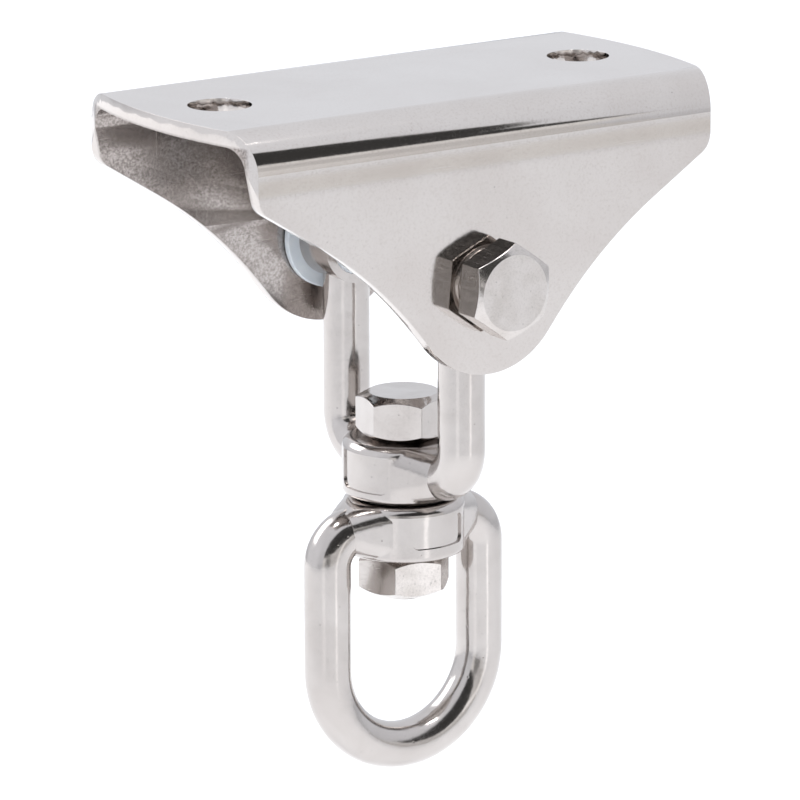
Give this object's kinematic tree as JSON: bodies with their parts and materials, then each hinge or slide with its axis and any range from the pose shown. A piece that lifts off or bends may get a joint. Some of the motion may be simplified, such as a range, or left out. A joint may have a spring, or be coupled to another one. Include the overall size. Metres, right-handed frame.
{
  "type": "swing hanger with swivel eye",
  "caption": "Stainless saddle bracket with a bolted swinging shackle and a closed eye that swivels below it, for hanging a swing or hammock from a beam.",
  "frame": {"origin": "centre of the bracket's flat top face, where it meets the beam", "axes": "+Z out of the top face, up into the beam; X along the bracket through both mounting holes; +Y along the pivot bolt from its head towards its nut"},
  "size_m": [0.1114, 0.078, 0.1351],
  "materials": {
    "stainless_plate": "tumbled stainless plate, half bright, with fine pits and handling scratches",
    "stainless_forging": "polished stainless round bar, bright, slightly wavy",
    "stainless_fastener": "plain stainless hex fastener, satin flats",
    "bush_nylon": "translucent white nylon, satin",
    "lock_ring_nylon": "blue nylon locking ring, satin"
  },
  "bodies": {
    "bracket": {"bracket": "stainless_plate", "pivot_bolt": "stainless_fastener", "pivot_washer": "stainless_fastener", "pivot_lock_nut": "stainless_fastener", "lock_nut_insert": "lock_ring_nylon"},
    "shackle": {"shackle": "stainless_forging", "bush_front": "bush_nylon", "bush_back": "bush_nylon", "swivel_pin": "stainless_fastener", "swivel_nut": "stainless_fastener"},
    "eye": {"swivel_eye": "stainless_forging"}
  },
  "joints": [
    {"name": "swing", "type": "hinge", "parent": "bracket", "child": "shackle", "pos_m": [0, 0, -0.0343], "axis": [0, 1, 0], "range_deg": [-90, 90]},
    {"name": "swivel", "type": "hinge", "parent": "shackle", "child": "eye", "pos_m": [0, 0, -0.086], "axis": [0, 0, 1], "continuous": true}
  ]
}
